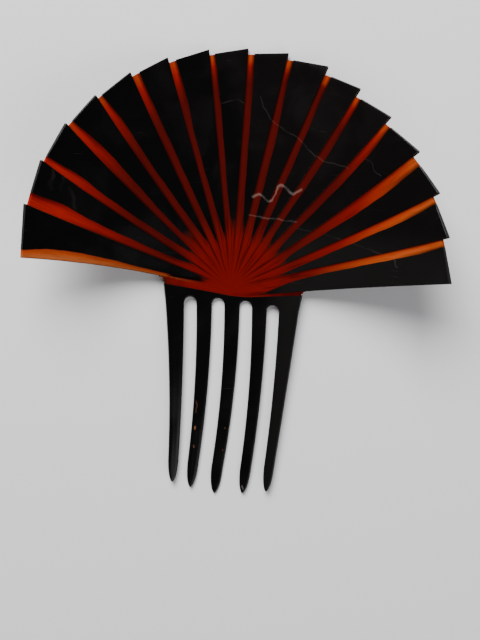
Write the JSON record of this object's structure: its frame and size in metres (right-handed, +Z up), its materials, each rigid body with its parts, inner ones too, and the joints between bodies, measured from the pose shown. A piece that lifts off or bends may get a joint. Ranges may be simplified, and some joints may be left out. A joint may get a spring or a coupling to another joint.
{
  "type": "mantilla comb",
  "caption": "Curved hair comb with a pleated fan top in black over translucent orange-red, and long teeth that hold it upright in the hair.",
  "frame": {"origin": "under the middle of the comb's box, on the surface it lies on", "axes": "+Z up through the lying comb, towards its hollow side; +Y from the tips of the teeth to the top of the fan; X across the wings"},
  "size_m": [0.1366, 0.1556, 0.0338],
  "materials": {
    "amber_sheet": "polished translucent orange-red celluloid",
    "black_face": "polished black celluloid with fine scratches"
  },
  "bodies": {
    "root": {"amber_body": "amber_sheet", "tine_face": "black_face", "pleat_01": "black_face", "pleat_02": "black_face", "pleat_03": "black_face", "pleat_04": "black_face", "pleat_05": "black_face", "pleat_06": "black_face", "pleat_07": "black_face", "pleat_08": "black_face", "pleat_09": "black_face", "pleat_10": "black_face", "pleat_11": "black_face", "pleat_12": "black_face", "pleat_13": "black_face", "pleat_14": "black_face", "pleat_15": "black_face", "pleat_16": "black_face"}
  },
  "joints": []
}
